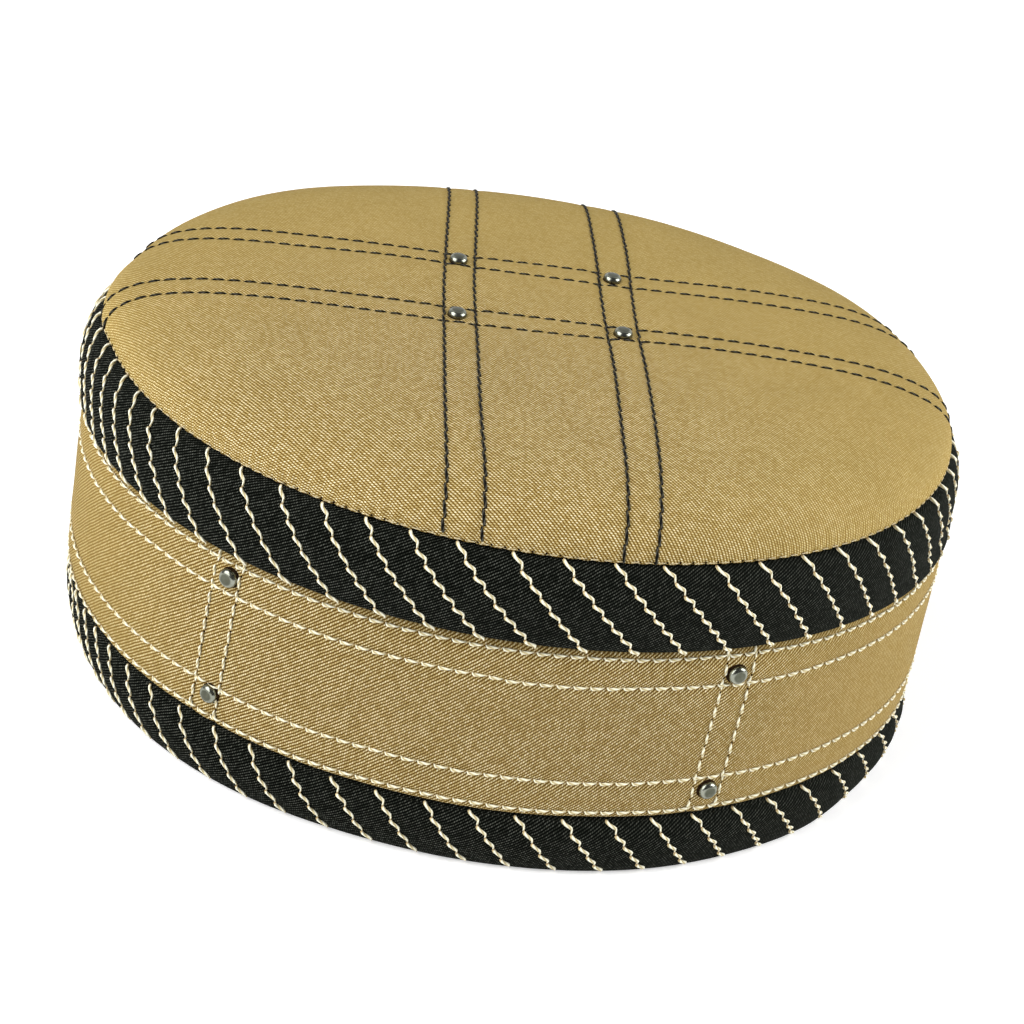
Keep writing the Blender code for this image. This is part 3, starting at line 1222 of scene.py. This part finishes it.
# Painted shadow round a stud, a dark disc for its cast shadow and the shade of the cloth it presses: its
# radius, how far it is pushed off the stud's middle, and its form
CROWN_STUD_SHADOW = 2.13 * MM
SIDE_STUD_SHADOW = 2.32 * MM
CROWN_SHADOW_PUSH = Vector((-0.05 * MM, -0.08 * MM, 0.0))
SIDE_SHADOW_PUSH = 0.2 * MM
SIDE_SHADOW_PUSH_UP = 0.12 * MM
STUD_SHADOW_DEPTH = 0.3 * MM
STUD_SHADOW_SLOPE = 0.15 * MM


def stud_shape(bm, radius, height):
    """A polished cap: a nearly flat face, a rounded rim and a closed back."""
    face = FACE_SHARE * radius
    outline = [(0.0, height), (0.5 * face, 0.985 * height), (face, 0.95 * height)]
    for step in range(1, RIM_STEPS + 1):
        angle = 0.5 * pi * step / RIM_STEPS
        reach = face + (radius - face) * sin(angle)
        outline.append((reach, RIM_BASE * height + RIM_RISE * height * cos(angle)))
    outline += [(radius, 0.1 * height), (0.93 * radius, 0.0), (0.0, 0.0)]
    verts = [bm.verts.new((reach, 0.0, level)) for reach, level in outline]
    edges = [bm.edges.new(pair) for pair in zip(verts, verts[1:])]
    bmesh.ops.spin(
        bm, geom=verts + edges, cent=(0.0, 0.0, 0.0), axis=UP, angle=tau, steps=STUD_SIDES, use_merge=True
    )
    close_up(bm, 0.005 * MM)
    uv = bm.loops.layers.uv.new("cloth")
    for face in bm.faces:
        for loop in face.loops:
            spot = loop.vert.co
            loop[uv].uv = (hypot(spot.x, spot.y) / radius, spot.z / height)


def make_stud(node, point, outward):
    bm = bmesh.new()
    stud_shape(bm, STUD_RADIUS, STUD_HEIGHT)
    bmesh.ops.transform(bm, matrix=stand_on(point, outward), verts=bm.verts)
    piece = finish_piece(bm, node + "_cap", gunmetal)
    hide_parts(node)


def paint_stud_shadow(bm, point, outward, push, radius):
    """Painted shadow: a dark disc round a stud for its cast shadow and the shade where its clenched edge
    presses the cloth, wider on one side, where its shadow falls.
    """
    inner = radius - STUD_SHADOW_SLOPE
    made = bmesh.ops.create_cone(
        bm, cap_ends=True, segments=STUD_SIDES, radius1=radius, radius2=inner, depth=STUD_SHADOW_DEPTH
    )["verts"]
    shift = push - outward * push.dot(outward)
    bmesh.ops.transform(bm, matrix=stand_on(point + shift, outward), verts=made)


def make_studs(holes):
    for node in sorted(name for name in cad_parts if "stud" in name):
        low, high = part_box(node)
        middle = (Vector(low) + Vector(high)) * 0.5
        if node.startswith("crown"):
            point, outward = crown_on(middle.x, middle.y)
            push, shadow_radius = CROWN_SHADOW_PUSH, CROWN_STUD_SHADOW
        else:
            turn = atan2(middle.x / HALF_LENGTH, -middle.y / HALF_WIDTH)
            distance, down = distance_at(turn), SIDE.down_at(middle.z)
            point, outward = SIDE.on(distance, down)
            ahead = (SIDE.on(distance + MM, down)[0] - point).normalized()
            push, shadow_radius = -ahead * copysign(SIDE_SHADOW_PUSH, sin(turn)) + UP * SIDE_SHADOW_PUSH_UP, SIDE_STUD_SHADOW
        # Painted shadow round the stud, pushed away from the nearer side lamp on the band
        paint_stud_shadow(holes, point, outward, push, shadow_radius)
        make_stud(node, point - outward * STUD_SINK, outward)


# Stage

Lamp = namedtuple("Lamp", "name turn climb power")
LAMPS = (
    Lamp("left_softbox", -75.0, 50.0, 8.5),
    Lamp("left_front_softbox", -54.0, 27.0, 7.0),
    Lamp("right_softbox", 85.0, 32.0, 12.5),
)
LAMP_DISTANCE = 1.1
LAMP_SIZE = 0.75
LAMP_AIM = Vector((0.0, 0.0, 0.05))
FILL = 0.1
BACKDROP = 1.0
FLOOR_WHITE = ((0.3, (0.9, 0.9, 0.9)), (0.7, (0.92, 0.92, 0.92)))
# Painted light: the floor's own glow, weaker under the cap than far from it
FLOOR_GLOW = ((0.0, (0.36, 0.36, 0.36)), (1.0, (0.7, 0.7, 0.7)))
FLOOR_GLOW_REACH = (0.15, 0.6)

# The camera: its place, the ways to its right and ahead of it, and its lens
CAMERA_PLACE = (-0.0183, -0.3936, 0.2788)
CAMERA_RIGHT = Vector((0.9862, 0.0488, 0.158))
CAMERA_AHEAD = Vector((0.0423, 0.8494, -0.526))
CAMERA_LENS = 69.06


def make_floor():
    """A white floor that glows as painted light, less under the cap than far from it."""
    bm = bmesh.new()
    bmesh.ops.create_grid(bm, x_segments=2, y_segments=2, size=3.0)
    material, tree, shader = new_material("floor")
    place = object_node(tree)
    distance = add_node(tree, "VectorMath", {0: place}, operation="LENGTH").outputs["Value"]
    glow = range_node(tree, distance, FLOOR_GLOW_REACH, (0.0, 1.0), "SMOOTHSTEP")
    looks = {
        "Base Color": ramp_node(tree, noise_node(tree, place, 3.0, 2.0), FLOOR_WHITE),
        "Emission Color": ramp_node(tree, glow, FLOOR_GLOW),
        "Emission Strength": 1.0,
        "Roughness": 0.9,
        "Specular IOR Level": 0.1,
    }
    feed(tree, shader, looks)
    mesh_object(bm, "floor", material)


def make_lamps():
    """Square softboxes round the cap, each at a turn from the front and a climb, in degrees."""
    for lamp in LAMPS:
        light = bpy.data.lights.new(lamp.name, "AREA")
        light.shape = "SQUARE"
        light.size = LAMP_SIZE
        light.energy = lamp.power
        turn, climb = radians(lamp.turn), radians(lamp.climb)
        flat = LAMP_DISTANCE * cos(climb)
        stand = add_object(lamp.name, light)
        stand.location = flat * sin(turn), -flat * cos(turn), LAMP_DISTANCE * sin(climb)
        stand.rotation_euler = (LAMP_AIM - stand.location).to_track_quat("-Z", "Y").to_euler()


def make_studio():
    """White all round to the eye, but dim as a light, with a pale backdrop that polished metal reflects."""
    world = bpy.data.worlds.new("studio")
    world.use_nodes = True
    tree = world.node_tree
    look = split_node(tree, add_node(tree, "TexCoord", {}).outputs["Generated"])
    backdrop = range_node(tree, look["Y"], (0.2, 0.7), (FILL, BACKDROP))
    ray = add_node(tree, "LightPath", {}).outputs
    strength = math_node("MAXIMUM", tree, times(tree, ray["Is Glossy Ray"], backdrop), FILL)
    strength = math_node("MAXIMUM", tree, strength, ray["Is Camera Ray"])
    feed(tree, tree.nodes["Background"], {"Color": (1.0, 1.0, 1.0), "Strength": strength})
    bpy.context.scene.world = world


def make_camera():
    """A long lens from the front and above, rolled a little to one side."""
    ahead = CAMERA_AHEAD.normalized()
    above = CAMERA_RIGHT.normalized().cross(ahead).normalized()
    right = ahead.cross(above)
    turn = Matrix((right, above, -ahead)).transposed().to_4x4()
    camera = bpy.data.cameras.new("camera")
    camera.lens = CAMERA_LENS
    camera.sensor_width = 36.0
    viewer = add_object("camera", camera)
    viewer.matrix_world = Matrix.Translation(CAMERA_PLACE) @ turn
    bpy.context.scene.camera = viewer


def main():
    bpy.context.scene.view_settings.view_transform = "Standard"
    make_camera()
    make_lamps()
    make_studio()
    make_floor()

    crown = make_crown()
    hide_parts("crown_top")
    upper = make_band("upper_cloth", UPPER, 660, 26, UPPER_THREADS.lean, black_twill)
    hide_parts("upper_band")
    side = make_band("side_cloth", SIDE, 4 * ROW_STITCHES, 60, 0.0, side_twill)
    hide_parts("side_band")
    lower = make_band("lower_cloth", LOWER, 590, 18, LOWER_THREADS.lean, black_twill)
    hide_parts("lower_band")

    # One dark piece of painted shade: the needle holes and the shadows round the studs
    holes = bmesh.new()
    sew_threads("upper_threads", UPPER, UPPER_THREADS, 1, 0.0, 0.5 * MM)
    sew_threads("lower_threads", LOWER, LOWER_THREADS, 2, 0.3 * MM, -0.5 * MM)
    sew_rows(holes)
    sew_strips(holes)
    sew_grid(holes)
    sew_edge(holes)
    make_studs(holes)
    finish_piece(holes, "needle_holes", needle_hole)


main()
